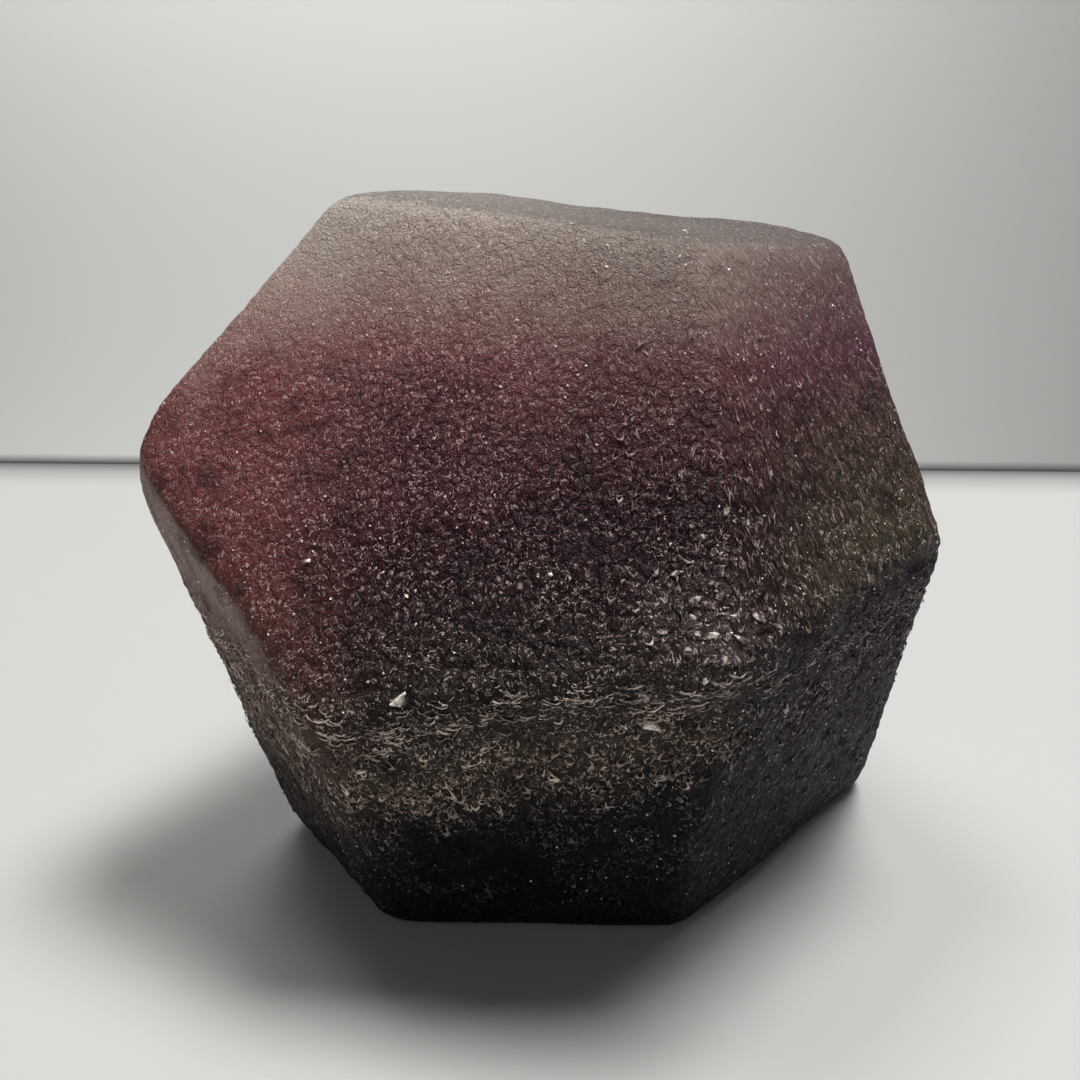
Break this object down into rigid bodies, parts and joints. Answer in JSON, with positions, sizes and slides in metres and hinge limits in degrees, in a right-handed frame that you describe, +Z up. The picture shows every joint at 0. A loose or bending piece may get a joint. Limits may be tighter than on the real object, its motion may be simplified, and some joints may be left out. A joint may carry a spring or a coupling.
{
  "type": "fluorite dodecahedron",
  "caption": "Weathered fluorite crystal, an uneven rhombic dodecahedron with a frosted, etched skin, resting on one flat face.",
  "frame": {"origin": "on the surface the crystal stands on, under the middle of its bounding box", "axes": "+Z up, -Y towards the viewer, +X to the viewer's right, along the crystal's widest way"},
  "size_m": [0.0616, 0.0596, 0.0543],
  "materials": {
    "fluorite": "translucent, frosted by etching, zoned pale rose, maroon and violet over a blue-black foot"
  },
  "bodies": {
    "root": {"crystal": "fluorite"}
  },
  "joints": []
}
